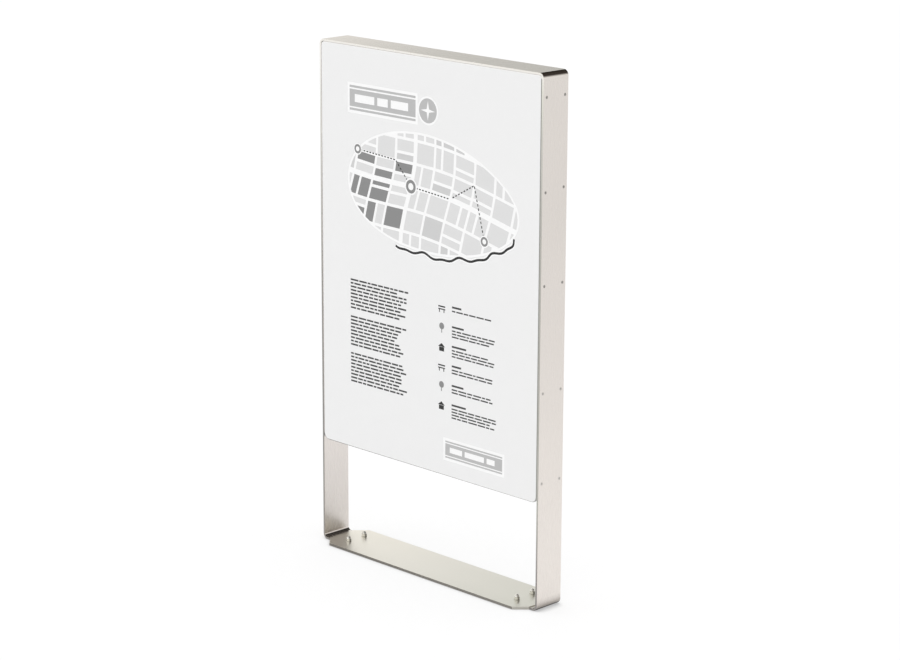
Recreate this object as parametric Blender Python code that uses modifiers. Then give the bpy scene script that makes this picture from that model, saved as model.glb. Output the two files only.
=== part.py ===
"""Double-sided information board: a bent steel hoop on a base plate holds a white panel on each side."""

import math

import bmesh
import bpy

# Metres throughout. X runs along the width, the front faces -Y and Z is up.
# The origin lies on the ground, at the middle of the base plate.

# Steel hoop: one strip, bent at the two top corners and at the two feet
BOARD_HEIGHT = 1.860
BOARD_WIDTH = 1.080
STRIP_WIDTH = 0.120
STRIP_THICKNESS = 0.008
TOP_BEND_RADIUS = 0.020
FOOT_BEND_RADIUS = 0.020
FOOT_STRAIGHT = 0.015
STRIP_EDGE_ROUNDING = 0.0012

# Base plate, butt-welded between the feet of the hoop
BASE_DEPTH = 0.204
BASE_THICKNESS = 0.010
BASE_EDGE_ROUNDING = 0.0012

# White tray panels: folded sheet, open at the back, whose top corners follow the bends of the hoop
PANEL_BOTTOM_HEIGHT = 0.388
PANEL_SHEET = 0.0025
PANEL_FOLD_INNER_RADIUS = 0.001
PANEL_TOP_CORNER_EASING = 0.002
PANEL_LOWER_CORNER_RADIUS = 0.024
FLANGE_BEHIND_SCREWS = 0.014

# Countersunk screws through the hoop, a row along each of its edges
SCREW_ROW_INSET = 0.016
SCREW_PITCH = 0.317
LOWER_SCREWS = 2
UPPER_SCREWS = 3
LEAST_SCREW_SPACING = 0.100
REAR_SCREW_RAISE = 0.008
TOP_SCREW_OFFSET = 0.206
SCREW_SHANK_RADIUS = 0.0025
SCREW_HEAD_RIM = 0.0025
SCREW_HEAD_SINK = 0.0004
SCREW_TIP_REACH = 0.002
SCREW_SOCKET_WALL = 0.00075
SCREW_SOCKET_DEPTH = 0.0018

# Tapped bars inside the panel flanges, which the screws pull against
BAR_THICKNESS = 0.006
BAR_FACE_CLEARANCE = 0.0025
BAR_END_MARGIN = 0.015
BAR_FOOT_CLEARANCE = 0.0185
BAR_HEAD_CLEARANCE = 0.0437
TOP_BAR_END_CLEARANCE = 0.030

# Hat-section stiffeners bonded to the back of each panel
STIFFENER_OFFSET = 0.190
STIFFENER_CROWN_WIDTH = 0.040
STIFFENER_FOOT_WIDTH = 0.018
STIFFENER_DEPTH = 0.022
STIFFENER_SHEET = 0.0015
STIFFENER_END_MARGIN = 0.010

# Cover that closes the housing from below, with its ends turned up along the hoop
COVER_SHEET = 0.002
COVER_EDGE_CLEARANCE = 0.0008
COVER_UPSTAND = 0.012
COVER_SCREW_OFFSET = 0.300
COVER_SCREW_HEAD_RIM = 0.00225
COVER_SCREW_HEAD_HEIGHT = 0.0028
COVER_SCREW_TIP_REACH = 0.003
COVER_SCREW_SOCKET_WALL = 0.001
COVER_SCREW_SOCKET_DEPTH = 0.0014

# Ground anchors, a pair by each foot: studs through the base plate, with washers and domed cap nuts
ANCHOR_END_INSET = 0.079
ANCHOR_OFFSET_Y = 0.039
STUD_RADIUS = 0.005
STUD_FOOT_HEIGHT = 0.0005
STUD_TOP_CLEARANCE = 0.002
WASHER_RIM = 0.00475
WASHER_THICKNESS = 0.002
NUT_WALL = 0.0035
NUT_HEX_HEIGHT = 0.008
NUT_HEIGHT = 0.018
NUT_SHOULDER = 0.0005
NUT_CAP_THICKNESS = 0.005

# Clearances
SEAT_GAP = 0.0003
SCREW_CLEARANCE = 0.0003
WASHER_CLEARANCE = 0.00025
ANCHOR_HOLE_CLEARANCE = 0.001
CUT_OVERRUN = 0.001
MERGE_DISTANCE = 0.00001

# Facets
BEND_STEPS = 8
SCREW_STEPS = 12
ANCHOR_STEPS = 18
DOME_STEPS = 4
FOLD_SEGMENTS = 3
EDGE_SEGMENTS = 2

# Places that follow from the sizes above
HALF_WIDTH = BOARD_WIDTH / 2
HALF_STRIP = STRIP_WIDTH / 2
FOOT_END_X = HALF_WIDTH - FOOT_BEND_RADIUS - FOOT_STRAIGHT
PANEL_HALF_WIDTH = HALF_WIDTH - STRIP_THICKNESS - SEAT_GAP
PANEL_TOP = BOARD_HEIGHT - STRIP_THICKNESS - SEAT_GAP
PANEL_TOP_CORNER_RADIUS = TOP_BEND_RADIUS - STRIP_THICKNESS + PANEL_TOP_CORNER_EASING
PANEL_FOLD_RADIUS = PANEL_SHEET + PANEL_FOLD_INNER_RADIUS
PANEL_FLANGE_DEPTH = SCREW_ROW_INSET + FLANGE_BEHIND_SCREWS

COVER_UNDERSIDE = PANEL_BOTTOM_HEIGHT + PANEL_SHEET + SEAT_GAP
COVER_HALF_WIDTH = PANEL_HALF_WIDTH - PANEL_SHEET - SEAT_GAP
COVER_CORNER_RADIUS = PANEL_LOWER_CORNER_RADIUS - PANEL_SHEET - SEAT_GAP
COVER_TOP = COVER_UNDERSIDE + COVER_CORNER_RADIUS + COVER_UPSTAND
COVER_DEPTH = STRIP_WIDTH - 2 * (PANEL_FOLD_RADIUS + COVER_EDGE_CLEARANCE)

BAR_OUTER_X = PANEL_HALF_WIDTH - PANEL_SHEET - SEAT_GAP
BAR_OUTER_TOP = PANEL_TOP - PANEL_SHEET - SEAT_GAP
BAR_WIDTH = 2 * (SCREW_ROW_INSET - PANEL_SHEET - BAR_FACE_CLEARANCE)
BAR_FOOT = COVER_TOP + BAR_FOOT_CLEARANCE
BAR_HEAD = PANEL_TOP - PANEL_TOP_CORNER_RADIUS - BAR_HEAD_CLEARANCE

SCREW_ROW_Y = HALF_STRIP - SCREW_ROW_INSET
SCREW_HEAD_RADIUS = SCREW_SHANK_RADIUS + SCREW_HEAD_RIM
SCREW_SOCKET_WIDTH = 2 * (SCREW_SHANK_RADIUS - SCREW_SOCKET_WALL)
SCREW_LENGTH = (
    STRIP_THICKNESS + PANEL_SHEET + BAR_THICKNESS + 2 * SEAT_GAP + SCREW_TIP_REACH - SCREW_HEAD_SINK
)
COVER_SCREW_HEAD_RADIUS = SCREW_SHANK_RADIUS + COVER_SCREW_HEAD_RIM
COVER_SCREW_SOCKET_WIDTH = 2 * (SCREW_SHANK_RADIUS - COVER_SCREW_SOCKET_WALL)

ANCHOR_OFFSET_X = FOOT_END_X - ANCHOR_END_INSET
ANCHOR_HOLE_RADIUS = STUD_RADIUS + ANCHOR_HOLE_CLEARANCE
WASHER_BORE_RADIUS = STUD_RADIUS + WASHER_CLEARANCE
WASHER_RADIUS = WASHER_BORE_RADIUS + WASHER_RIM
WASHER_UNDERSIDE = BASE_THICKNESS + SEAT_GAP
NUT_UNDERSIDE = WASHER_UNDERSIDE + WASHER_THICKNESS + SEAT_GAP
NUT_WIDTH = 2 * (STUD_RADIUS + NUT_WALL)
NUT_DOME_RADIUS = NUT_WIDTH / 2 - NUT_SHOULDER
NUT_BORE_DEPTH = NUT_HEIGHT - NUT_CAP_THICKNESS
STUD_TOP = NUT_UNDERSIDE + NUT_BORE_DEPTH - STUD_TOP_CLEARANCE

# Sign of each side along X and of each row along Y
SIDES = (("left", -1), ("right", 1))
ROWS = (("front", -1), ("rear", 1))


def clear_scene():
    for obj in list(bpy.data.objects):
        bpy.data.objects.remove(obj, do_unlink=True)


def new_collection(name):
    collection = bpy.data.collections.new(name)
    bpy.context.scene.collection.children.link(collection)
    return collection


def new_material(name, colour, roughness, metallic):
    material = bpy.data.materials.new(name)
    material.use_nodes = True
    shader = material.node_tree.nodes["Principled BSDF"]
    shader.inputs["Base Color"].default_value = (*colour, 1.0)
    shader.inputs["Roughness"].default_value = roughness
    shader.inputs["Metallic"].default_value = metallic
    material.diffuse_color = (*colour, 1.0)
    return material


def new_object(name, mesh, collection, material=None):
    obj = bpy.data.objects.new(name, mesh)
    collection.objects.link(obj)
    if material and not mesh.materials:
        mesh.materials.append(material)
    return obj


def smooth_round_faces(mesh):
    mesh.shade_smooth()
    mesh.set_sharp_from_angle(angle=math.radians(30))


def arc(centre_x, centre_y, radius, start_degrees, end_degrees, steps):
    """Points along an arc, both ends included."""
    points = []
    for step in range(steps + 1):
        share = step / steps
        angle = math.radians(start_degrees + (end_degrees - start_degrees) * share)
        points.append((centre_x + radius * math.cos(angle), centre_y + radius * math.sin(angle)))
    return points


def evaluated_mesh(obj, name):
    """A new mesh that holds the object's shape with its modifiers applied."""
    bpy.context.view_layer.update()
    graph = bpy.context.evaluated_depsgraph_get()
    mesh = bpy.data.meshes.new_from_object(obj.evaluated_get(graph))
    mesh.name = name
    return mesh


def flat_outline(name, outline, thickness, collection, material, upright=False):
    """A plate of the given outline, centred on its origin: thick along Y when upright, along Z when not."""
    curve = bpy.data.curves.new(name, "CURVE")
    curve.dimensions = "2D"
    curve.fill_mode = "BOTH"
    curve.extrude = thickness / 2
    spline = curve.splines.new("POLY")
    spline.points.add(len(outline) - 1)
    for point, (across, along) in zip(spline.points, outline):
        point.co = (across, along, 0.0, 1.0)
    spline.use_cyclic_u = True
    guide = bpy.data.objects.new(name + "_outline", curve)
    collection.objects.link(guide)
    if upright:
        guide.rotation_euler = (math.radians(90), 0, 0)
    mesh = evaluated_mesh(guide, name)
    shape = bmesh.new()
    shape.from_mesh(mesh)
    bmesh.ops.remove_doubles(shape, verts=shape.verts, dist=MERGE_DISTANCE)
    bmesh.ops.dissolve_limit(
        shape, angle_limit=math.radians(0.5), verts=shape.verts, edges=shape.edges
    )
    bmesh.ops.recalc_face_normals(shape, faces=shape.faces)
    shape.to_mesh(mesh)
    shape.free()
    plate = new_object(name, mesh, collection, material)
    plate.matrix_world = guide.matrix_world
    bpy.data.objects.remove(guide, do_unlink=True)
    return plate


def round_folds(obj, width, segments):
    """Rounds every sharp edge between two faces."""
    bevel = obj.modifiers.new("rounded_folds", "BEVEL")
    bevel.width = width
    bevel.segments = segments
    bevel.limit_method = "ANGLE"
    bevel.angle_limit = math.radians(50)


def round_rims(plate, width, weld_x):
    """Rounds the rims of both faces of a plate, but for the stretch on the line where it is welded."""
    shape = bmesh.new()
    shape.from_mesh(plate.data)
    weight = shape.edges.layers.float.new("bevel_weight_edge")
    for edge in shape.edges:
        first, second = (vert.co for vert in edge.verts)
        on_one_face = abs(first.z - second.z) < MERGE_DISTANCE
        at_weld = all(abs(abs(end.x) - weld_x) < MERGE_DISTANCE for end in (first, second))
        edge[weight] = float(on_one_face and not at_weld)
    shape.to_mesh(plate.data)
    shape.free()
    bevel = plate.modifiers.new("rounded_rims", "BEVEL")
    bevel.width = width
    bevel.segments = EDGE_SEGMENTS
    bevel.limit_method = "WEIGHT"


def cut_with(obj, cutters):
    """Cuts away every object of a collection of cutters."""
    cut = obj.modifiers.new("holes", "BOOLEAN")
    cut.operation = "DIFFERENCE"
    cut.operand_type = "COLLECTION"
    cut.collection = cutters
    cut.solver = "EXACT"


def turned_mesh(name, profile, steps, collection):
    """A closed turned shape from a profile of (radius, height), which runs from top to bottom."""
    mesh = bpy.data.meshes.new(name + "_profile")
    shape = bmesh.new()
    corners = [shape.verts.new((radius, 0, height)) for radius, height in profile]
    for first, second in zip(corners, corners[1:]):
        shape.edges.new((first, second))
    shape.to_mesh(mesh)
    shape.free()
    guide = bpy.data.objects.new(name + "_profile", mesh)
    collection.objects.link(guide)
    turn = guide.modifiers.new("turned", "SCREW")
    turn.axis = "Z"
    turn.angle = math.radians(360)
    turn.steps = steps
    turn.render_steps = steps
    turn.use_merge_vertices = True
    turn.merge_threshold = MERGE_DISTANCE
    turned = evaluated_mesh(guide, name)
    bpy.data.objects.remove(guide, do_unlink=True)
    return turned


def upright_prism(name, radius, low, high, sides):
    """A closed prism or cylinder on the Z axis, between two heights."""
    mesh = bpy.data.meshes.new(name)
    shape = bmesh.new()
    bmesh.ops.create_cone(
        shape, cap_ends=True, segments=sides, radius1=radius, radius2=radius, depth=high - low
    )
    bmesh.ops.translate(shape, verts=shape.verts, vec=(0, 0, (low + high) / 2))
    shape.to_mesh(mesh)
    shape.free()
    return mesh


def hexagon_corner_radius(width):
    return width / 2 / math.cos(math.radians(30))


def combined(name, mesh, tool_mesh, operation, collection):
    """The first mesh with the second one joined to it or cut from it."""
    body = bpy.data.objects.new(name, mesh)
    tool = bpy.data.objects.new(name + "_tool", tool_mesh)
    collection.objects.link(body)
    collection.objects.link(tool)
    change = body.modifiers.new("change", "BOOLEAN")
    change.operation = operation
    change.object = tool
    change.solver = "EXACT"
    result = evaluated_mesh(body, name)
    bpy.data.objects.remove(body, do_unlink=True)
    bpy.data.objects.remove(tool, do_unlink=True)
    smooth_round_faces(result)
    return result


def with_hex_socket(mesh, top, width, depth, collection):
    """The mesh of a screw with a hexagon socket sunk from its top."""
    key = upright_prism(
        mesh.name + "_key", hexagon_corner_radius(width), top - depth, top + CUT_OVERRUN, 6
    )
    return combined(mesh.name + "_with_socket", mesh, key, "DIFFERENCE", collection)


def box(name, size, location, collection, material):
    mesh = bpy.data.meshes.new(name)
    shape = bmesh.new()
    bmesh.ops.create_cube(shape, size=1.0)
    bmesh.ops.scale(shape, verts=shape.verts, vec=size)
    shape.to_mesh(mesh)
    shape.free()
    obj = new_object(name, mesh, collection, material)
    obj.location = location
    return obj


def add_cutter(name, mesh, location, rotation, cutters):
    cutter = bpy.data.objects.new(name, mesh)
    cutters.objects.link(cutter)
    cutter.location = location
    cutter.rotation_euler = rotation
    cutter.display_type = "WIRE"
    cutter.hide_render = True


# Each facing turns a screw's head, which points up at first, to the side that the word names
FACING = {
    "left": (0, math.radians(-90), 0),
    "right": (0, math.radians(90), 0),
    "up": (0, 0, 0),
    "down": (math.radians(180), 0, 0),
}


def screw_heights(row):
    """Heights of a side row, lowest first: some count up from the bars' foot, others down from their head."""
    lowest = BAR_FOOT + BAR_END_MARGIN
    highest = BAR_HEAD - BAR_END_MARGIN
    upper = []
    for step in range(UPPER_SCREWS):
        height = highest - step * SCREW_PITCH
        if row == "rear" and step == 1:
            height += REAR_SCREW_RAISE
        if height - lowest >= LEAST_SCREW_SPACING:
            upper.insert(0, height)
    lower = []
    for step in range(LOWER_SCREWS):
        height = lowest + step * SCREW_PITCH
        if upper[0] - height >= LEAST_SCREW_SPACING:
            lower.append(height)
    return lower + upper


def hoop_screw_places():
    """Name, row, location of the head's top and facing of every screw through the hoop."""
    places = []
    head_x = HALF_WIDTH - SCREW_HEAD_SINK
    head_z = BOARD_HEIGHT - SCREW_HEAD_SINK
    for row, toward in ROWS:
        row_y = toward * SCREW_ROW_Y
        for number, height in enumerate(screw_heights(row), start=1):
            for side, sign in SIDES:
                name = f"{side}_{row}_screw_{number}"
                places.append((name, row, (sign * head_x, row_y, height), FACING[side]))
        for side, sign in SIDES:
            name = f"top_{row}_screw_{side}"
            places.append((name, row, (sign * TOP_SCREW_OFFSET, row_y, head_z), FACING["up"]))
    return places


def countersunk_profile(clearance, overrun):
    """Profile of a countersunk screw, or with a clearance and an overrun that of the hole it needs."""
    head = SCREW_HEAD_RADIUS + clearance
    shank = SCREW_SHANK_RADIUS + clearance
    cone_depth = head - shank
    tip = -SCREW_LENGTH - overrun
    profile = [(0, overrun), (head, overrun)]
    if overrun:
        profile.append((head, 0))
    return profile + [(shank, -cone_depth), (shank, tip), (0, tip)]


def dome_profile(head_radius, head_height, shank_radius, shank_length):
    """Profile of a round-headed bolt whose head stands on the plane of its origin."""
    sphere_radius = (head_radius**2 + head_height**2) / (2 * head_height)
    centre_height = head_height - sphere_radius
    rim_degrees = math.degrees(math.asin((0 - centre_height) / sphere_radius))
    dome = arc(0, centre_height, sphere_radius, 90, rim_degrees, DOME_STEPS)
    dome[0] = (0, head_height)
    return dome + [(shank_radius, 0), (shank_radius, -shank_length), (0, -shank_length)]


def hoop_path(inset):
    """The strip's outer line seen from the front, or with an inset the line that far inside it."""
    foot_x = HALF_WIDTH - FOOT_BEND_RADIUS
    top_x = HALF_WIDTH - TOP_BEND_RADIUS
    top_z = BOARD_HEIGHT - TOP_BEND_RADIUS
    foot_radius = FOOT_BEND_RADIUS - inset
    top_radius = TOP_BEND_RADIUS - inset
    return (
        [(-FOOT_END_X, inset)]
        + arc(-foot_x, FOOT_BEND_RADIUS, foot_radius, 270, 180, BEND_STEPS)
        + arc(-top_x, top_z, top_radius, 180, 90, BEND_STEPS)
        + arc(top_x, top_z, top_radius, 90, 0, BEND_STEPS)
        + arc(foot_x, FOOT_BEND_RADIUS, foot_radius, 0, -90, BEND_STEPS)
        + [(FOOT_END_X, inset)]
    )


def make_hoop(parts, steel, screw_cutters):
    outline = hoop_path(0) + hoop_path(STRIP_THICKNESS)[::-1]
    hoop = flat_outline("frame_hoop", outline, STRIP_WIDTH, parts, steel, upright=True)
    round_rims(hoop, STRIP_EDGE_ROUNDING, FOOT_END_X)
    for cutters in screw_cutters.values():
        cut_with(hoop, cutters)
    smooth_round_faces(hoop.data)


def make_base_plate(parts, steel, cutter_root):
    end_x = FOOT_END_X - SEAT_GAP
    half_depth = BASE_DEPTH / 2
    corner_cut = half_depth - HALF_STRIP
    quarter = [(end_x, HALF_STRIP), (end_x - corner_cut, half_depth)]
    back = quarter + [(-across, along) for across, along in quarter[::-1]]
    front = [(across, -along) for across, along in back[::-1]]
    plate = flat_outline("base_plate", back + front, BASE_THICKNESS, parts, steel)
    plate.location.z = BASE_THICKNESS / 2
    round_rims(plate, BASE_EDGE_ROUNDING, end_x)
    hole_mesh = upright_prism(
        "anchor_hole", ANCHOR_HOLE_RADIUS, -CUT_OVERRUN, BASE_THICKNESS + CUT_OVERRUN, ANCHOR_STEPS
    )
    holes = bpy.data.collections.new("anchor_holes")
    cutter_root.children.link(holes)
    for name, across, along in anchor_places():
        add_cutter(name + "_hole", hole_mesh, (across, along, 0), (0, 0, 0), holes)
    cut_with(plate, holes)


def anchor_places():
    places = []
    for side, sign_x in SIDES:
        for row, sign_y in ROWS:
            places.append((f"{side}_{row}_anchor", sign_x * ANCHOR_OFFSET_X, sign_y * ANCHOR_OFFSET_Y))
    return places


def cap_nut_mesh(guides):
    """A hexagon nut with a dome on top and a blind bore from below, standing on the plane of its origin."""
    cylinder_top = NUT_HEIGHT - NUT_DOME_RADIUS
    dome = arc(0, cylinder_top, NUT_DOME_RADIUS, 90, 0, DOME_STEPS)
    dome[0] = (0, NUT_HEIGHT)
    profile = dome + [(NUT_DOME_RADIUS, CUT_OVERRUN), (0, CUT_OVERRUN)]
    cap = turned_mesh("nut_cap", profile, ANCHOR_STEPS, guides)
    hexagon = upright_prism("nut_hexagon", hexagon_corner_radius(NUT_WIDTH), 0, NUT_HEX_HEIGHT, 6)
    blank = combined("nut_blank", hexagon, cap, "UNION", guides)
    bore_radius = STUD_RADIUS + SCREW_CLEARANCE
    bore = upright_prism("nut_bore", bore_radius, -CUT_OVERRUN, NUT_BORE_DEPTH, SCREW_STEPS)
    return combined("anchor_nut", blank, bore, "DIFFERENCE", guides)


def make_anchors(parts, steel, bolt_steel, guides):
    nut_mesh = cap_nut_mesh(guides)
    stud_mesh = upright_prism("anchor_stud", STUD_RADIUS, STUD_FOOT_HEIGHT, STUD_TOP, SCREW_STEPS)
    smooth_round_faces(stud_mesh)
    ring = [
        (WASHER_BORE_RADIUS, WASHER_THICKNESS),
        (WASHER_RADIUS, WASHER_THICKNESS),
        (WASHER_RADIUS, 0),
        (WASHER_BORE_RADIUS, 0),
        (WASHER_BORE_RADIUS, WASHER_THICKNESS),
    ]
    washer_mesh = turned_mesh("anchor_washer", ring, ANCHOR_STEPS, guides)
    smooth_round_faces(washer_mesh)
    for name, across, along in anchor_places():
        stud = new_object(name + "_stud", stud_mesh, parts, bolt_steel)
        stud.location = (across, along, 0)
        washer = new_object(name + "_washer", washer_mesh, parts, steel)
        washer.location = (across, along, WASHER_UNDERSIDE)
        nut = new_object(name + "_nut", nut_mesh, parts, bolt_steel)
        nut.location = (across, along, NUT_UNDERSIDE)


def panel_outline():
    low_x = PANEL_HALF_WIDTH - PANEL_LOWER_CORNER_RADIUS
    low_z = PANEL_BOTTOM_HEIGHT + PANEL_LOWER_CORNER_RADIUS
    high_x = PANEL_HALF_WIDTH - PANEL_TOP_CORNER_RADIUS
    high_z = PANEL_TOP - PANEL_TOP_CORNER_RADIUS
    return (
        arc(-low_x, low_z, PANEL_LOWER_CORNER_RADIUS, 270, 180, BEND_STEPS)
        + arc(-high_x, high_z, PANEL_TOP_CORNER_RADIUS, 180, 90, BEND_STEPS)
        + arc(high_x, high_z, PANEL_TOP_CORNER_RADIUS, 90, 0, BEND_STEPS)
        + arc(low_x, low_z, PANEL_LOWER_CORNER_RADIUS, 0, -90, BEND_STEPS)
    )


def make_panel(name, turn_degrees, parts, white, cutters):
    """A tray: face and flange as an open surface, with a rounded fold and the sheet's thickness inside."""
    mesh = bpy.data.meshes.new(name)
    shape = bmesh.new()
    rim = [shape.verts.new((across, -HALF_STRIP, up)) for across, up in panel_outline()]
    face = shape.faces.new(rim)
    walls = bmesh.ops.extrude_edge_only(shape, edges=face.edges)
    back_rim = [item for item in walls["geom"] if isinstance(item, bmesh.types.BMVert)]
    bmesh.ops.translate(shape, verts=back_rim, vec=(0, PANEL_FLANGE_DEPTH, 0))
    bmesh.ops.recalc_face_normals(shape, faces=shape.faces)
    if face.normal.y > 0:
        bmesh.ops.reverse_faces(shape, faces=shape.faces)
    shape.to_mesh(mesh)
    shape.free()
    panel = new_object(name, mesh, parts, white)
    panel.rotation_euler = (0, 0, math.radians(turn_degrees))
    round_folds(panel, PANEL_FOLD_RADIUS, FOLD_SEGMENTS)
    sheet = panel.modifiers.new("sheet", "SOLIDIFY")
    sheet.thickness = PANEL_SHEET
    sheet.offset = -1
    sheet.use_even_offset = True
    for group in cutters:
        cut_with(panel, group)
    smooth_round_faces(mesh)


def make_fixing_bars(parts, zinc, screw_cutters):
    top_bar_length = 2 * (PANEL_HALF_WIDTH - PANEL_TOP_CORNER_RADIUS - TOP_BAR_END_CLEARANCE)
    for row, toward in ROWS:
        row_y = toward * SCREW_ROW_Y
        for side, sign in SIDES:
            centre_x = sign * (BAR_OUTER_X - BAR_THICKNESS / 2)
            bar = box(
                f"{side}_{row}_fixing_bar",
                (BAR_THICKNESS, BAR_WIDTH, BAR_HEAD - BAR_FOOT),
                (centre_x, row_y, (BAR_FOOT + BAR_HEAD) / 2),
                parts,
                zinc,
            )
            cut_with(bar, screw_cutters[row])
        top_bar = box(
            f"top_{row}_fixing_bar",
            (top_bar_length, BAR_WIDTH, BAR_THICKNESS),
            (0, row_y, BAR_OUTER_TOP - BAR_THICKNESS / 2),
            parts,
            zinc,
        )
        cut_with(top_bar, screw_cutters[row])


def stiffener_outline():
    """Hat section seen from above, with its feet on the line Y = 0 and its crown towards +Y."""
    crown = STIFFENER_CROWN_WIDTH / 2
    foot = crown + STIFFENER_FOOT_WIDTH
    half = [
        (crown, STIFFENER_DEPTH),
        (crown, STIFFENER_SHEET),
        (foot, STIFFENER_SHEET),
        (foot, 0),
        (crown - STIFFENER_SHEET, 0),
        (crown - STIFFENER_SHEET, STIFFENER_DEPTH - STIFFENER_SHEET),
    ]
    return half + [(-across, along) for across, along in half[::-1]]


def make_stiffeners(parts, zinc):
    low = COVER_UNDERSIDE + COVER_SHEET + STIFFENER_END_MARGIN
    high = BAR_OUTER_TOP - BAR_THICKNESS - STIFFENER_END_MARGIN
    face_y = HALF_STRIP - PANEL_SHEET - SEAT_GAP
    for row, toward in ROWS:
        for side, sign in SIDES:
            name = f"{row}_{side}_stiffener"
            stiffener = flat_outline(name, stiffener_outline(), high - low, parts, zinc)
            stiffener.location = (sign * STIFFENER_OFFSET, toward * face_y, (low + high) / 2)
            if toward > 0:
                stiffener.rotation_euler = (0, 0, math.radians(180))


def cover_path(inset):
    """The cover's outer line seen from the front, or with an inset the line that far inside it."""
    side = COVER_HALF_WIDTH - inset
    bend_x = COVER_HALF_WIDTH - COVER_CORNER_RADIUS
    bend_z = COVER_UNDERSIDE + COVER_CORNER_RADIUS
    radius = COVER_CORNER_RADIUS - inset
    return (
        [(-side, COVER_TOP)]
        + arc(-bend_x, bend_z, radius, 180, 270, BEND_STEPS)
        + arc(bend_x, bend_z, radius, 270, 360, BEND_STEPS)
        + [(side, COVER_TOP)]
    )


def cover_screw_places():
    places = []
    for row, toward in ROWS:
        for side, sign in SIDES:
            head_z = PANEL_BOTTOM_HEIGHT - SEAT_GAP
            place = (sign * COVER_SCREW_OFFSET, toward * SCREW_ROW_Y, head_z)
            places.append((f"{row}_{side}_cover_screw", place))
    return places


def make_cover(parts, zinc, cutters):
    outline = cover_path(0) + cover_path(COVER_SHEET)[::-1]
    cover = flat_outline("bottom_cover", outline, COVER_DEPTH, parts, zinc, upright=True)
    cut_with(cover, cutters)
    smooth_round_faces(cover.data)


def make_cover_screws(parts, steel, cutters, guides):
    shank_length = PANEL_SHEET + COVER_SHEET + 2 * SEAT_GAP + COVER_SCREW_TIP_REACH
    profile = dome_profile(
        COVER_SCREW_HEAD_RADIUS, COVER_SCREW_HEAD_HEIGHT, SCREW_SHANK_RADIUS, shank_length
    )
    blank = turned_mesh("cover_screw", profile, SCREW_STEPS, guides)
    screw_mesh = with_hex_socket(
        blank, COVER_SCREW_HEAD_HEIGHT, COVER_SCREW_SOCKET_WIDTH, COVER_SCREW_SOCKET_DEPTH, guides
    )
    hole_radius = SCREW_SHANK_RADIUS + SCREW_CLEARANCE
    hole_tip = -shank_length - CUT_OVERRUN
    hole_profile = [(0, CUT_OVERRUN), (hole_radius, CUT_OVERRUN), (hole_radius, hole_tip), (0, hole_tip)]
    hole_mesh = turned_mesh("cover_screw_hole", hole_profile, SCREW_STEPS, guides)
    for name, place in cover_screw_places():
        screw = new_object(name, screw_mesh, parts, steel)
        screw.location = place
        screw.rotation_euler = FACING["down"]
        add_cutter(name + "_hole", hole_mesh, place, FACING["down"], cutters)


def make_hoop_screws(parts, steel, screw_cutters, guides):
    blank = turned_mesh("hoop_screw", countersunk_profile(0, 0), SCREW_STEPS, guides)
    screw_mesh = with_hex_socket(blank, 0, SCREW_SOCKET_WIDTH, SCREW_SOCKET_DEPTH, guides)
    hole_profile = countersunk_profile(SCREW_CLEARANCE, CUT_OVERRUN)
    hole_mesh = turned_mesh("hoop_screw_hole", hole_profile, SCREW_STEPS, guides)
    for name, row, place, facing in hoop_screw_places():
        screw = new_object(name, screw_mesh, parts, steel)
        screw.location = place
        screw.rotation_euler = facing
        add_cutter(name + "_hole", hole_mesh, place, facing, screw_cutters[row])


def main():
    clear_scene()
    parts = new_collection("information_board")
    cutter_root = new_collection("cutters")
    guides = new_collection("guides")
    screw_cutters = {}
    for row in ("front", "rear", "cover"):
        screw_cutters[row] = bpy.data.collections.new(row + "_screw_holes")
        cutter_root.children.link(screw_cutters[row])
    hoop_cutters = {row: screw_cutters[row] for row in ("front", "rear")}

    strip_steel = new_material("satin_steel", (0.60, 0.57, 0.53), 0.32, 1.0)
    plate_steel = new_material("satin_plate", (0.62, 0.60, 0.55), 0.30, 1.0)
    screw_steel = new_material("screw_steel", (0.42, 0.41, 0.39), 0.35, 1.0)
    white = new_material("white_lacquer", (0.86, 0.86, 0.86), 0.25, 0.0)
    zinc = new_material("zinc_steel", (0.50, 0.51, 0.52), 0.45, 1.0)

    make_hoop_screws(parts, screw_steel, hoop_cutters, guides)
    make_cover_screws(parts, screw_steel, screw_cutters["cover"], guides)
    make_hoop(parts, strip_steel, hoop_cutters)
    make_base_plate(parts, plate_steel, cutter_root)
    make_anchors(parts, plate_steel, screw_steel, guides)
    make_panel("front_panel", 0, parts, white, (screw_cutters["front"], screw_cutters["cover"]))
    make_panel("rear_panel", 180, parts, white, (screw_cutters["rear"], screw_cutters["cover"]))
    make_fixing_bars(parts, zinc, hoop_cutters)
    make_stiffeners(parts, zinc)
    make_cover(parts, zinc, screw_cutters["cover"])
    bpy.data.collections.remove(guides)


main()
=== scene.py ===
import math
import random

import bmesh
import bpy
from mathutils import Matrix, Vector


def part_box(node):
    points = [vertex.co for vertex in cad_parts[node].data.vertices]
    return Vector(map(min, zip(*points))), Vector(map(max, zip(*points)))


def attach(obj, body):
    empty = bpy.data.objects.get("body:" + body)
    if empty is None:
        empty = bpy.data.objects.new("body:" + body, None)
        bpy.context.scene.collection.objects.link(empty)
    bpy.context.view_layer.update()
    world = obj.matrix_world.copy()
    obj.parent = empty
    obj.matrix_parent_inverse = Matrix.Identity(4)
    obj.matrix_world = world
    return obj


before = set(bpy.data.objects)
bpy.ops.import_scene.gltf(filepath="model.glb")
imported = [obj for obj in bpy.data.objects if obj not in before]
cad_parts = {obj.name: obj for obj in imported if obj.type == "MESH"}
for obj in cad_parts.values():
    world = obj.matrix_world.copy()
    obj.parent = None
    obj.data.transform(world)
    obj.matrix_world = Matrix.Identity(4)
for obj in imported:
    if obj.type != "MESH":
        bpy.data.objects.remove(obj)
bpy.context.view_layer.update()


def grey(tone):
    """A colour without a tint."""
    return tone, tone, tone


# Lengths are in metres, but for the camera's lens and sensor, and tones are linear

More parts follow.
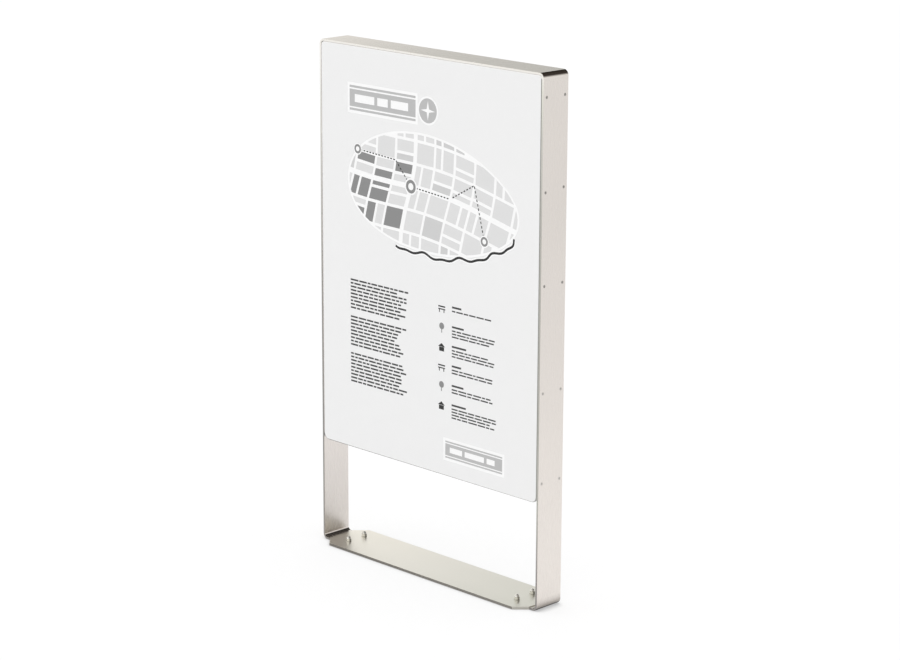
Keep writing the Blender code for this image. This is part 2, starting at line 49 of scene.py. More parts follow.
# Camera, fitted to the photograph's straight edges, with lens and sensor in millimetres
CAMERA_PLACE = Vector((6.29756, -6.27710, 3.21808))
CAMERA_AZIMUTH = math.radians(44.8376)
CAMERA_ELEVATION = math.radians(14.6932)
CAMERA_ROLL = math.radians(0.24257)
CAMERA_LENS = 105.216
CAMERA_REACH = 200
SENSOR_WIDTH = 36.0

# Places on the board between which its tones change
FULL_WIDTH = (-0.54, 0.54)
BETWEEN_UPRIGHTS = (-0.5, 0.5)
RIGHT_OF_MIDDLE = (0.0, 0.3)
FULL_HEIGHT = (0.0, 1.86)
ABOVE_FOOT = (0.030, 0.060)
DOWN_TO_FOOT = (0.060, 0.030)
DOWN_TO_GROUND = (0.045, 0.0)

# How far a surface looks along an axis, 1 for fully and -1 for the other way:
# a layer has no effect at the first number and its full effect at the second
BROAD_FACE = (0.60, 0.95)
CUT_FACE = (0.45, 0.85)
BENT_FACE = (0.05, 0.25)
FOLDED_FACE = (0.05, 0.20)
FOLDED_UNDER = (-0.05, -0.20)
TURNED_UNDER = (0.0, -1.0)
NOT_TURNED_UNDER = (-0.85, -0.45)
OUTER_FACE = (0.0, 0.2)
INNER_BEND_ACROSS = (0.02, 0.12)
INNER_BEND_UP = (0.42, 0.56)

# The same for the sum of how far it looks to the right and to the back
RIGHT_AND_BACK = (-0.40, 0.35)

# Noise stays mostly between these two values
NOISE_SPAN = (0.25, 0.75)
EVEN_STRETCH = (1.0, 1.0, 1.0)
CLOUD_DETAIL = 3.0
GRAIN_DETAIL = 2.0

# Metal: clouds a little darker than the rest, and a grain along the strip
CLOUD_SCALE = 2.2
CLOUD_DROP = 0.965
GRAIN_STRETCH = (14.0, 1500.0, 14.0)
GRAIN_DEPTH = 0.00002

# Steel of the strip: painted reflection along its top, darker from left to right,
# painted shade on the feet by how far the surface looks down, painted shade low on the
# right foot from a little height to the ground, and painted shade in the inner bends
STRIP_COLOUR = (0.857, 0.806, 0.760)
BEND_ROUGHNESS = 0.06
STRIP_TOP_SHADE = (
    (0.0, (0.89, 0.89, 0.87)),
    (0.5, (0.615, 0.620, 0.600)),
    (1.0, (0.495, 0.50, 0.475)),
)
FOOT_SHADE = (
    (0.45, grey(1.0)),
    (0.56, (0.40, 0.39, 0.38)),
    (0.67, (0.10, 0.095, 0.09)),
    (1.0, grey(0.03)),
)
LOW_FOOT_SHADE = (
    (0.05, grey(1.0)),
    (0.27, grey(0.90)),
    (0.42, (0.80, 0.79, 0.79)),
    (0.58, (0.62, 0.61, 0.60)),
    (0.78, (0.52, 0.51, 0.50)),
    (1.0, (0.44, 0.43, 0.42)),
)
INNER_BEND_SHADE = grey(0.42)

# Tones of the broad faces and the cut edges of the two uprights, from the ground up
# Painted shade and reflection on the broad faces of the uprights, by height
LEFT_SIDE_TONES = (
    (0.015, grey(0.98)),
    (0.05, grey(0.88)),
    (0.13, (0.895, 0.895, 0.905)),
    (0.25, (0.975, 0.975, 0.985)),
)
RIGHT_SIDE_TONES = (
    (0.0, grey(1.0)),
    (0.16, grey(0.995)),
    (0.40, grey(0.965)),
    (0.60, grey(0.94)),
    (0.75, grey(0.925)),
    (1.0, grey(0.94)),
)
# Cut edges of the uprights: painted shade, darker towards the ground, and a painted highlight at
# the top
LEFT_EDGE_COLOURS = (
    (0.0, (0.34, 0.32, 0.30)),
    (0.27, (0.30, 0.29, 0.28)),
    (0.52, (0.36, 0.35, 0.33)),
    (0.72, (0.60, 0.59, 0.56)),
    (0.88, (0.84, 0.84, 0.79)),
    (0.97, (0.98, 0.96, 0.92)),
    (0.99, (0.98, 0.95, 0.90)),
)
RIGHT_EDGE_COLOURS = (
    (0.06, (0.34, 0.32, 0.31)),
    (0.20, (0.50, 0.49, 0.45)),
    (0.50, (0.48, 0.47, 0.43)),
    (0.72, (0.52, 0.51, 0.47)),
    (0.88, (0.66, 0.65, 0.60)),
    (0.97, (0.86, 0.85, 0.77)),
    (0.99, (0.98, 0.95, 0.90)),
)

# Steel of the base plate
PLATE_COLOUR = (0.96, 0.93, 0.85)
# Painted reflection along the plate's top, darker from left to right
PLATE_TOP_SHADE = (
    (0.0, (1.0, 0.99, 0.98)),
    (0.5, (0.895, 0.90, 0.905)),
    (1.0, (0.80, 0.82, 0.81)),
)
# Cut edges of the plate: painted shade, a little darker at the left end
PLATE_LEFT_EDGE = ((0.0, (0.24, 0.225, 0.20)), (1.0, (0.24, 0.225, 0.20)))
PLATE_RIGHT_EDGE = ((0.0, (0.30, 0.285, 0.26)), (1.0, (0.30, 0.285, 0.26)))

# Screws, nuts and zinc-plated pieces
SCREW_COLOUR = (0.58, 0.56, 0.53)
# Painted shade on the faces of screw heads that look sideways, darker higher up
SCREW_TONES = ((0.40, grey(1.0)), (0.60, grey(0.62)))
# Painted highlight on the faces of screw heads that look up
SCREW_TOP_HIGHLIGHT = (1.0, 0.99, 0.97)
NUT_COLOUR = (0.96, 0.95, 0.90)
# Painted shade on the faces of the nuts that look to the right and the back
NUT_SHADE_COLOUR = (0.46, 0.45, 0.42)
ZINC_COLOUR = (0.55, 0.56, 0.57)

# Lacquer of the panels, and the depth behind a panel's face over which its sheet is folded
FOLD_RADIUS = 0.0035
LACQUER_COLOUR = grey(0.865)
# Painted highlight on the low and top folds, and painted shade deeper in the side and low folds
LACQUER_FOLD_HIGHLIGHT = (0.97, 0.97, 0.96)
SIDE_FOLD_SHADE = (0.30, 0.30, 0.28)
LEFT_LOW_FOLD_SHADE = (0.05, 0.05, 0.045)
RIGHT_LOW_FOLD_SHADE = (0.42, 0.42, 0.41)
LACQUER_CLOUD_SCALE = 1.6
LACQUER_CLOUD_DROP = 0.992
LACQUER_ROUGHNESS = (0.22, 0.28)
COAT_WEIGHT = 0.25
COAT_ROUGHNESS = 0.06
PEEL_SCALE = 420.0
PEEL_STRENGTH = 0.04
PEEL_DEPTH = 0.00003

# Printed film on the front panel: each layer lies on the one below
PANEL_FACE_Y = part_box("front_panel")[0].y
FILM_THICKNESS = 0.00005
FILM_STEP = 0.00006
FILM_SEAT = 0.00001
FILM_ROUGHNESS = (0.38, 0.46)
FILM_GRAIN_SCALE = 900.0
FILM_GRAIN_STRENGTH = 0.03
FILM_TONE_DROP = 0.97

# Tones of the print
TONE_HALO = 0.97
TONE_BLOCK = 0.74
TONE_PARK = 0.62
TONE_BAND = 0.50
TONE_BUILDING = 0.25
TONE_TEXT = 0.035
TONE_INK = 0.008

# Map: a bent street grid, somewhat larger than the rim that cuts it off
MAP_CENTRE = (0.010, 1.375)
MAP_HALF_WIDTH = 0.415
MAP_HALF_HEIGHT = 0.196
MAP_MARGIN = 0.008
MAP_COLUMNS = 10
MAP_ROWS = 6
TOWN_WIDTH = 2.3 * MAP_HALF_WIDTH
TOWN_HEIGHT = 2.5 * MAP_HALF_HEIGHT
STREET_WIDTH = 0.0105
AVENUE_WIDTH = 0.019
AVENUE_COLUMN = 4
AVENUE_ROW = 3
MAP_SEED = 7
SPLIT_ACROSS_CHANCE = 0.42
SPLIT_UP_CHANCE = 0.45
LEAST_SPLIT = 0.35
SPLIT_REACH = 0.3
CENTRE_CELLS = range(1, 4)
BUILDING_CHANCE = 0.60
PARK_CHANCE = 0.16
LEAST_BLOCK_AREA = 0.00012

# Shore beside the map
SHORE_STEPS = 60
SHORE_START = math.radians(-112)
SHORE_END = math.radians(-24)
SHORE_DISTANCE = 0.018
SHORE_WIDTH = 0.0085
SHORE_HALO_WIDTH = 0.018

# Trail through the town, by column and row of the street grid, and its stops
TRAIL_CROSSINGS = ((1, 4), (3, 4), (4, 3), (6, 3), (7, 4), (8, 2))
TRAIL_WIDTH = 0.0042
DASH_LENGTH = 0.0085
DASH_GAP = 0.0065
LEAST_DASH = 0.002
STOP_SIZE = 0.021
MIDDLE_STOP_SIZE = 0.030
STOP_RING = 0.80
STOP_EYE = 0.42

# Text, drawn as bars the length of words
TEXT_SEED = 23
WORD_LENGTHS = (0.012, 0.042)
WORD_GAP = 0.0045
PRINT_LEFT = -0.385
PARAGRAPHS = 3
PARAGRAPH_TOP = 1.010
PARAGRAPH_STEP = 0.136
PARAGRAPH_LINES = 9
PARAGRAPH_WIDTHS = (0.262, 0.300)
LINE_STEP = 0.0128
LINE_HEIGHT = 0.0062

# Legend
LEGEND_ENTRIES = 6
LEGEND_TOP = 0.990
LEGEND_STEP = 0.070
LEGEND_ICON_PLACE = 0.075
LEGEND_TEXT_LEFT = 0.125
LEGEND_TEXT_WIDTH = 0.215
LEGEND_TITLE_RISE = 0.008
LEGEND_TITLE_WIDTH = 0.045
LEGEND_TITLE_GROWTH = 0.012
LEGEND_TITLE_HEIGHT = 0.0068
LEGEND_LINES_DROP = 0.005
LEGEND_LINE_STEP = 0.0106
LEGEND_LINE_HEIGHT = 0.0050

# Title bands: left end, lower edge, width and height, and for each of their bars the share
# of the width that it takes
HEADER_BAND = (PRINT_LEFT, 1.625, 0.330, 0.088)
HEADER_BARS = (0.30, 0.16, 0.26)
HEADER_DISC = (0.005, 1.669)
HEADER_DISC_RADIUS = 0.043
HEADER_HALO_RADIUS = 0.050
FOOTER_BAND = (0.095, 0.455, 0.275, 0.062)
FOOTER_BARS = (0.22, 0.34, 0.14)
BAND_HALO = 0.010
DISC_SIDES = 28
COMPASS_TIP = 0.034
COMPASS_NOTCH = 0.008

# Shares of a band's height
BAND_RULE = 0.09
BAND_BAR_LOW = 0.34
BAND_BAR_HEIGHT = 0.32

# Shares of a band's width
BAND_BAR_LEFT = 0.08
BAND_BAR_GAP = 0.045

# Share of the height of a band's rule
BAND_FIELD_LOW = 1.7

# Floor: the share of its own glow for the camera and for mirrors, its tones in mirrors from
# near to far, and its soft contact shadow
FLOOR_HALF_SIZE = 45
FLOOR_HEIGHT = -0.0002
FLOOR_ROUGHNESS = 0.9
GLOW_FOR_CAMERA = 0.62
GLOW_FOR_MIRRORS = 0.05
NEAR_AND_FAR = (0.5, 5.0)
FLOOR_TONES = ((0.0, grey(0.97)), (1.0, grey(0.86)))
CONTACT_REACH = 0.045
CONTACT_SAMPLES = 8
CONTACT_SPAN = (0.5, 0.85)
CONTACT_GLOW = (0.64, 1.04)

# Studio that metal mirrors: tones by height at each side, with a dark ceiling at the back
EVEN_LIGHT = 1.03
MIRRORED_LIGHT = 1.10
HORIZON = (0.91, 0.91, 0.90)
LOW_WALL = (0.73, 0.72, 0.69)
WALL = (0.69, 0.685, 0.655)
DARK_CEILING = (0.044, 0.037, 0.032)
PALE_CEILING = (0.82, 0.81, 0.78)
OVERHEAD = (0.84, 0.83, 0.80)
FAR_LEFT_SIDE = (
    (0.00, HORIZON),
    (0.10, LOW_WALL),
    (0.17, WALL),
    (0.30, (0.98, 0.98, 0.97)),
    (1.00, (0.98, 0.98, 0.97)),
)
BACK_LEFT_SIDE = (
    (0.00, HORIZON),
    (0.10, LOW_WALL),
    (0.17, WALL),
    (0.30, (0.92, 0.92, 0.91)),
    (0.42, (1.0, 1.0, 0.99)),
    (0.46, DARK_CEILING),
    (0.74, DARK_CEILING),
    (0.86, PALE_CEILING),
    (1.00, OVERHEAD),
)
BACK_RIGHT_SIDE = (
    (0.00, HORIZON),
    (0.08, (0.86, 0.85, 0.835)),
    (0.18, (0.70, 0.69, 0.67)),
    (0.28, (0.38, 0.37, 0.355)),
    (0.40, (0.23, 0.22, 0.21)),
    (0.46, DARK_CEILING),
    (0.74, DARK_CEILING),
    (0.86, PALE_CEILING),
    (1.00, OVERHEAD),
)
FRONT_SIDE = (
    (0.00, HORIZON),
    (0.30, LOW_WALL),
    (0.60, (0.55, 0.54, 0.51)),
    (1.00, OVERHEAD),
)

# Directions between which one side of the studio blends into the next
TO_FAR_LEFT = (-0.52, -0.60)
TO_RIGHT = (-0.35, 0.25)
TO_FRONT = (0.35, 0.0)

# Faces of a node that meet at more than this angle keep a sharp edge, and corners nearer
# to each other than this distance are joined
SHARP_ANGLE = math.radians(32)
MERGE_DISTANCE = 0.000002


class Shading:
    """The node tree of a material or a world, and the steps that one is built from."""

    def __init__(self, owner):
        owner.use_nodes = True
        self.nodes = owner.node_tree.nodes
        self.links = owner.node_tree.links

    def add(self, kind):
        return self.nodes.new(kind)

    def link(self, source, target):
        self.links.new(source, target)

    def calculate(self, operation, first, second=None):
        """One step of arithmetic. A second value is a number or the output of a node."""
        step = self.add("ShaderNodeMath")
        step.operation = operation
        self.link(first, step.inputs[0])
        if isinstance(second, float):
            step.inputs[1].default_value = second
        elif second is not None:
            self.link(second, step.inputs[1])
        return step.outputs["Value"]

    def ranged(self, value, span, result=(0.0, 1.0)):
        """The value moved from one span to another, and kept inside it."""
        change = self.add("ShaderNodeMapRange")
        change.inputs["From Min"].default_value = span[0]
        change.inputs["From Max"].default_value = span[1]
        change.inputs["To Min"].default_value = result[0]
        change.inputs["To Max"].default_value = result[1]
        self.link(value, change.inputs["Value"])
        return change.outputs["Result"]

    def axes(self, vector):
        """The parts of a vector, by the name of the axis."""
        split = self.add("ShaderNodeSeparateXYZ")
        self.link(vector, split.inputs["Vector"])
        return split.outputs

    def place(self):
        """The place along each axis of the object."""
        return self.axes(self.add("ShaderNodeTexCoord").outputs["Object"])

    def along(self, axis, span):
        """0 to 1 between two places along one axis of the object."""
        return self.ranged(self.place()[axis], span)

    def normal(self):
        """How far the surface looks along each axis: 1 for fully, and -1 for the other way."""
        return self.axes(self.add("ShaderNodeNewGeometry").outputs["Normal"])

    def facing(self, axis, span):
        """0 to 1 as the surface looks further along an axis."""
        return self.ranged(self.normal()[axis], span)

    def facing_either_way(self, axis, span):
        """0 to 1 as the surface looks further along an axis, to either side."""
        return self.ranged(self.calculate("ABSOLUTE", self.normal()[axis]), span)

    def noise(self, scale, stretch=EVEN_STRETCH, detail=GRAIN_DETAIL):
        """Noise in object space, with its own scale along each axis."""
        mapping = self.add("ShaderNodeMapping")
        mapping.inputs["Scale"].default_value = stretch
        noise = self.add("ShaderNodeTexNoise")
        noise.inputs["Scale"].default_value = scale
        noise.inputs["Detail"].default_value = detail
        self.link(self.add("ShaderNodeTexCoord").outputs["Object"], mapping.inputs["Vector"])
        self.link(mapping.outputs["Vector"], noise.inputs["Vector"])
        return noise.outputs["Fac"]

    def from_noise(self, noise, low, high):
        """Noise moved to between the low and the high value."""
        return self.ranged(noise, NOISE_SPAN, (low, high))

    def clouded(self, scale, drop, colour):
        """The colour, a little darker in soft clouds."""
        clouds = self.noise(scale, detail=CLOUD_DETAIL)
        darker = tuple(value * drop for value in colour)
        return self.mixed(self.from_noise(clouds, 0.0, 1.0), darker, colour)

    def mixed(self, share, first, second, blend="MIX"):
        """Two colours, each the output of a node or fixed, mixed by the share of the second."""
        mix = self.add("ShaderNodeMix")
        mix.data_type = "RGBA"
        mix.blend_type = blend
        self.link(share, mix.inputs["Factor"])
        for name, colour in (("A", first), ("B", second)):
            if isinstance(colour, tuple):
                mix.inputs[name].default_value = (*colour, 1.0)
            else:
                self.link(colour, mix.inputs[name])
        return mix.outputs["Result"]

    def ramp(self, value, stops):
        """A colour for each value, blended between the stops given."""
        ramp = self.add("ShaderNodeValToRGB")
        marks = ramp.color_ramp.elements
        marks[0].position, marks[0].color = stops[0][0], (*stops[0][1], 1.0)
        marks[1].position, marks[1].color = stops[-1][0], (*stops[-1][1], 1.0)
        for position, colour in stops[1:-1]:
            marks.new(position).color = (*colour, 1.0)
        self.link(value, ramp.inputs["Fac"])
        return ramp.outputs["Color"]

    def bump(self, shader, height, strength, distance):
        bump = self.add("ShaderNodeBump")
        bump.inputs["Strength"].default_value = strength
        bump.inputs["Distance"].default_value = distance
        self.link(height, bump.inputs["Height"])
        self.link(bump.outputs["Normal"], shader.inputs["Normal"])


def brushed_metal(name, colour, roughness, spread, grain, layers=(), polish=None, painted_shade=False):
    """Satin metal whose grain runs along the strip, so that it changes fast across its width.

    The polish names a place and the roughness that the metal has there.
    """
    material = bpy.data.materials.new(name)
    tree = Shading(material)
    shader = tree.nodes["Principled BSDF"]
    shader.inputs["Metallic"].default_value = 1.0
    lines = tree.noise(1.0, GRAIN_STRETCH)
    tint = tree.clouded(CLOUD_SCALE, CLOUD_DROP, colour)
    for layer in layers:
        tint = layer(tree, tint)
    tree.link(tint, shader.inputs["Base Color"])
    # Painted shadow where the feet turn under near the ground: the surface there is no metal and
    # has no sheen
    if painted_shade:
        unshaded_metal = tree.calculate(
            "MAXIMUM", tree.facing("Z", NOT_TURNED_UNDER), tree.along("Z", ABOVE_FOOT)
        )
        tree.link(unshaded_metal, shader.inputs["Metallic"])
        shader.inputs["Specular IOR Level"].default_value = 0.0
    rough = tree.from_noise(lines, roughness - spread, roughness + spread)
    if polish:
        place, polished_roughness = polish
        smoother = tree.add("ShaderNodeMix")
        smoother.inputs["B"].default_value = polished_roughness
        tree.link(place(tree), smoother.inputs["Factor"])
        tree.link(rough, smoother.inputs["A"])
        rough = smoother.outputs["Result"]
    tree.link(rough, shader.inputs["Roughness"])
    tree.bump(shader, lines, grain, GRAIN_DEPTH)
    return material


def bends(tree):
    """1 in the bends of the strip, which look partly sideways and partly up or down."""
    return tree.calculate(
        "MULTIPLY", tree.facing_either_way("X", BENT_FACE), tree.facing_either_way("Z", BENT_FACE)
    )


def shaded_top(stops):
    """Painted reflection on the faces that look up, darker from the left end to the right."""

    def layer(tree, tint):
        top_shade = tree.ramp(tree.along("X", FULL_WIDTH), stops)
        return tree.mixed(tree.facing("Z", BROAD_FACE), tint, top_shade, "MULTIPLY")

    return layer


def shaded_foot(stops):
    """Painted shade where the feet turn under, darker the further down the surface looks."""

    def layer(tree, tint):
        painted_shade = tree.ramp(tree.facing("Z", TURNED_UNDER), stops)
        return tree.mixed(tree.along("Z", DOWN_TO_FOOT), tint, painted_shade, "MULTIPLY")

    return layer


def shaded_low_foot(stops):
    """Painted shade low on the outside of the right foot, by height."""

    def layer(tree, tint):
        painted_shade = tree.ramp(tree.along("Z", DOWN_TO_GROUND), stops)
        outside = tree.calculate(
            "MULTIPLY", tree.facing("X", OUTER_FACE), tree.along("X", RIGHT_OF_MIDDLE)
        )
        return tree.mixed(outside, tint, painted_shade, "MULTIPLY")

    return layer


def shaded_inner_bend(colour):
    """Painted shade in the inner bends of the feet, near the ground."""

    def layer(tree, tint):
        bend = tree.calculate(
            "MULTIPLY",
            tree.facing_either_way("X", INNER_BEND_ACROSS),
            tree.facing("Z", INNER_BEND_UP),
        )
        painted_shade = tree.mixed(tree.along("Z", DOWN_TO_FOOT), grey(1.0), colour)
        return tree.mixed(bend, tint, painted_shade, "MULTIPLY")

    return layer


def by_height(tree, left, right):
    """A colour by height, with stops of its own at each end of the board."""
    height = tree.along("Z", FULL_HEIGHT)
    return tree.mixed(
        tree.along("X", BETWEEN_UPRIGHTS), tree.ramp(height, left), tree.ramp(height, right)
    )


def shaded_sides(left, right):
    """Painted shade and reflection on the faces that look to the left or the right, by height."""

    def layer(tree, tint):
        shade = by_height(tree, left, right)
        return tree.mixed(tree.facing_either_way("X", BROAD_FACE), tint, shade, "MULTIPLY")

    return layer


def shaded_cut_edge(left, right):
    """Colour of the cut edges by height, with painted shade and painted highlight in it."""

    def layer(tree, tint):
        edge = by_height(tree, left, right)
        return tree.mixed(tree.facing_either_way("Y", CUT_FACE), tint, edge)

    return layer


def highlighted_top(colour):
    """Painted highlight on the faces that look up."""

    def layer(tree, tint):
        return tree.mixed(tree.facing("Z", BROAD_FACE), tint, colour)

    return layer


def shaded_back_sides(colour):
    """Painted shade wherever the surface looks to the right and the back."""

    def layer(tree, tint):
        normal = tree.normal()
        turned = tree.calculate("ADD", normal["X"], normal["Y"])
        return tree.mixed(tree.ranged(turned, RIGHT_AND_BACK), tint, colour)

    return layer


def lacquer(name):
    """Glossy lacquer with a faint orange peel, and painted highlight and shade in the folds."""
    material = bpy.data.materials.new(name)
    tree = Shading(material)
    shader = tree.nodes["Principled BSDF"]
    shader.inputs["Coat Weight"].default_value = COAT_WEIGHT
    shader.inputs["Coat Roughness"].default_value = COAT_ROUGHNESS
    peel = tree.noise(PEEL_SCALE)
    tint = tree.clouded(LACQUER_CLOUD_SCALE, LACQUER_CLOUD_DROP, LACQUER_COLOUR)

    face_depth = abs(PANEL_FACE_Y)
    depth = tree.ranged(
        tree.calculate("ABSOLUTE", tree.place()["Y"]), (face_depth, face_depth - FOLD_RADIUS)
    )
    # Painted shade in the side and low folds, painted highlight on the low and top folds
    side_fold_shade = tree.ramp(depth, ((0.01, LACQUER_COLOUR), (0.06, SIDE_FOLD_SHADE), (1.0, SIDE_FOLD_SHADE)))
    low_fold_shades = [
        tree.ramp(depth, ((0.0, LACQUER_COLOUR), (0.03, LACQUER_FOLD_HIGHLIGHT), (0.07, fold), (1.0, fold)))
        for fold in (LEFT_LOW_FOLD_SHADE, RIGHT_LOW_FOLD_SHADE)
    ]
    low_fold_shade = tree.mixed(tree.along("X", BETWEEN_UPRIGHTS), *low_fold_shades)
    top_fold_highlight = tree.ramp(depth, ((0.0, LACQUER_COLOUR), (0.04, LACQUER_FOLD_HIGHLIGHT), (1.0, LACQUER_FOLD_HIGHLIGHT)))
    tint = tree.mixed(tree.facing("X", FOLDED_FACE), tint, side_fold_shade)
    tint = tree.mixed(tree.facing("Z", FOLDED_UNDER), tint, low_fold_shade)
    tint = tree.mixed(tree.facing("Z", FOLDED_FACE), tint, top_fold_highlight)
    tree.link(tint, shader.inputs["Base Color"])
    tree.link(tree.from_noise(peel, *LACQUER_ROUGHNESS), shader.inputs["Roughness"])
    tree.bump(shader, peel, PEEL_STRENGTH, PEEL_DEPTH)
    return material


def film_material(name, tone):
    """Printed film: one tone with a fine grain of its own."""
    material = bpy.data.materials.new(name)
    tree = Shading(material)
    shader = tree.nodes["Principled BSDF"]
    grain = tree.noise(FILM_GRAIN_SCALE)
    colour = tree.mixed(tree.from_noise(grain, 0.0, 1.0), grey(tone * FILM_TONE_DROP), grey(tone))
    tree.link(colour, shader.inputs["Base Color"])
    tree.link(tree.from_noise(grain, *FILM_ROUGHNESS), shader.inputs["Roughness"])
    tree.bump(shader, grain, FILM_GRAIN_STRENGTH, GRAIN_DEPTH)
    return material


def smooth_group():
    """Joins the corners of a node's faces and shades it smooth, but for its sharp edges."""
    group = bpy.data.node_groups.new("smooth_by_angle", "GeometryNodeTree")
    group.interface.new_socket("Geometry", in_out="INPUT", socket_type="NodeSocketGeometry")
    group.interface.new_socket("Geometry", in_out="OUTPUT", socket_type="NodeSocketGeometry")
    nodes, links = group.nodes, group.links
    start = nodes.new("NodeGroupInput")
    end = nodes.new("NodeGroupOutput")
    merge = nodes.new("GeometryNodeMergeByDistance")
    merge.inputs["Distance"].default_value = MERGE_DISTANCE
    faces = nodes.new("GeometryNodeSetShadeSmooth")
    faces.domain = "FACE"
    edges = nodes.new("GeometryNodeSetShadeSmooth")
    edges.domain = "EDGE"
    edges.inputs["Shade Smooth"].default_value = False
    angle = nodes.new("GeometryNodeInputMeshEdgeAngle")
    sharp = nodes.new("FunctionNodeCompare")
    sharp.data_type = "FLOAT"
    sharp.operation = "GREATER_THAN"
    sharp.inputs["B"].default_value = SHARP_ANGLE
    links.new(start.outputs["Geometry"], merge.inputs["Geometry"])
    links.new(merge.outputs["Geometry"], faces.inputs["Geometry"])
    links.new(faces.outputs["Geometry"], edges.inputs["Geometry"])
    links.new(angle.outputs["Unsigned Angle"], sharp.inputs["A"])
    links.new(sharp.outputs["Result"], edges.inputs["Selection"])
    links.new(edges.outputs["Geometry"], end.inputs["Geometry"])
    return group


def make_materials():
    """The materials of the nodes, each by the word that stands for it in choose_material."""
    return {
        "strip": brushed_metal(
            "strip_steel", STRIP_COLOUR, roughness=0.28, spread=0.03, grain=0.12,
            layers=(
                shaded_top(STRIP_TOP_SHADE),
                shaded_foot(FOOT_SHADE),
                shaded_inner_bend(INNER_BEND_SHADE),
                shaded_low_foot(LOW_FOOT_SHADE),
                shaded_sides(LEFT_SIDE_TONES, RIGHT_SIDE_TONES),
                shaded_cut_edge(LEFT_EDGE_COLOURS, RIGHT_EDGE_COLOURS),
            ),
            polish=(bends, BEND_ROUGHNESS),
            painted_shade=True,
        ),
        "plate": brushed_metal(
            "plate_steel", PLATE_COLOUR, roughness=0.36, spread=0.03, grain=0.12,
            layers=(shaded_top(PLATE_TOP_SHADE), shaded_cut_edge(PLATE_LEFT_EDGE, PLATE_RIGHT_EDGE)),
        ),
        "lacquer": lacquer("panel_lacquer"),
        "screw": brushed_metal(
            "screw_metal", SCREW_COLOUR, roughness=0.34, spread=0.06, grain=0.12,
            layers=(shaded_sides(SCREW_TONES, SCREW_TONES), highlighted_top(SCREW_TOP_HIGHLIGHT)),
        ),
        "nut": brushed_metal(
            "nut_metal", NUT_COLOUR, roughness=0.14, spread=0.03, grain=0.10,
            layers=(shaded_back_sides(NUT_SHADE_COLOUR),),
        ),
        "zinc": brushed_metal(
            "zinc_metal", ZINC_COLOUR, roughness=0.42, spread=0.08, grain=0.12
        ),
    }


def choose_material(name):
    if name == "frame_hoop":
        return "strip"
    if name == "base_plate":
        return "plate"
    if name in ("front_panel", "rear_panel"):
        return "lacquer"
    if "_anchor_" in name:
        return "nut"
    if "screw" in name:
        return "screw"
    return "zinc"


def dress_nodes():
    materials = make_materials()
    smooth = smooth_group()
    for name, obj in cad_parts.items():
        for slot in obj.material_slots:
            slot.material = materials[choose_material(name)]
        obj.modifiers.new("smooth_by_angle", "NODES").node_group = smooth
        even = obj.modifiers.new("flat_faces_stay_flat", "WEIGHTED_NORMAL")
        even.keep_sharp = True


def film(name, polygons, layer, material):
    """Thin closed pieces of film on the front panel, one for each polygon of (x, z) points."""
    mesh = bpy.data.meshes.new(name)
    shape = bmesh.new()
    back = PANEL_FACE_Y - FILM_SEAT - layer * FILM_STEP
    for polygon in polygons:
        rim = [shape.verts.new((across, back, up)) for across, up in polygon]
        face = shape.faces.new(rim)
        bulk = bmesh.ops.extrude_face_region(shape, geom=[face])
        moved = [item for item in bulk["geom"] if isinstance(item, bmesh.types.BMVert)]
        bmesh.ops.translate(shape, verts=moved, vec=(0, -FILM_THICKNESS, 0))
    bmesh.ops.recalc_face_normals(shape, faces=shape.faces)
    shape.to_mesh(mesh)
    shape.free()
    mesh.materials.append(material)
    piece = bpy.data.objects.new(name, mesh)
    bpy.context.scene.collection.objects.link(piece)
    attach(piece, "root")


def bar(left, low, width, height):
    return [(left, low), (left + width, low), (left + width, low + height), (left, low + height)]


def disc(across, up, radius, sides=DISC_SIDES):
    turn = math.tau / sides
    return [
        (across + radius * math.cos(step * turn), up + radius * math.sin(step * turn))
        for step in range(sides)
    ]


def ribbon(points, width):
    """The outline of a line as wide as the width says."""
    low_side, high_side = [], []
    for index, (across, up) in enumerate(points):
        before = points[max(index - 1, 0)]
        after = points[min(index + 1, len(points) - 1)]
        reach = width / 2 / math.dist(before, after)
        step_across = (before[1] - after[1]) * reach
        step_up = (after[0] - before[0]) * reach
        low_side.append((across - step_across, up - step_up))
        high_side.append((across + step_across, up + step_up))
    return low_side + high_side[::-1]


def rim_point(angle, grow):
    """A point of the map's rim, or beyond it."""
    wobble = 1 + 0.030 * math.cos(3 * angle + 0.7) + 0.045 * math.cos(2 * angle + 2.0)
    return (
        MAP_CENTRE[0] + (MAP_HALF_WIDTH * wobble + grow) * math.cos(angle),
        MAP_CENTRE[1] + (MAP_HALF_HEIGHT * wobble + grow) * math.sin(angle),
    )


def map_outline(grow=0.0, steps=72):
    """A convex, slightly lopsided rim round the map."""
    return [rim_point(step * math.tau / steps, grow) for step in range(steps)]


def clipped(polygon, rim):
    """The part of a polygon inside a convex rim that runs counterclockwise."""
    kept = polygon
    for (ax, az), (bx, bz) in zip(rim, rim[1:] + rim[:1]):
        points, kept = kept, []
        for (px, pz), (qx, qz) in zip(points, points[1:] + points[:1]):
            side_p = (bx - ax) * (pz - az) - (bz - az) * (px - ax)
            side_q = (bx - ax) * (qz - az) - (bz - az) * (qx - ax)
            if side_p >= 0:
                kept.append((px, pz))
            if side_p * side_q < 0:
                share = side_p / (side_p - side_q)
                kept.append((px + (qx - px) * share, pz + (qz - pz) * share))
        if len(kept) < 3:
            return []
    return kept


def polygon_area(polygon):
    sides = zip(polygon, polygon[1:] + polygon[:1])
    return abs(sum(px * qz - qx * pz for (px, pz), (qx, qz) in sides)) / 2


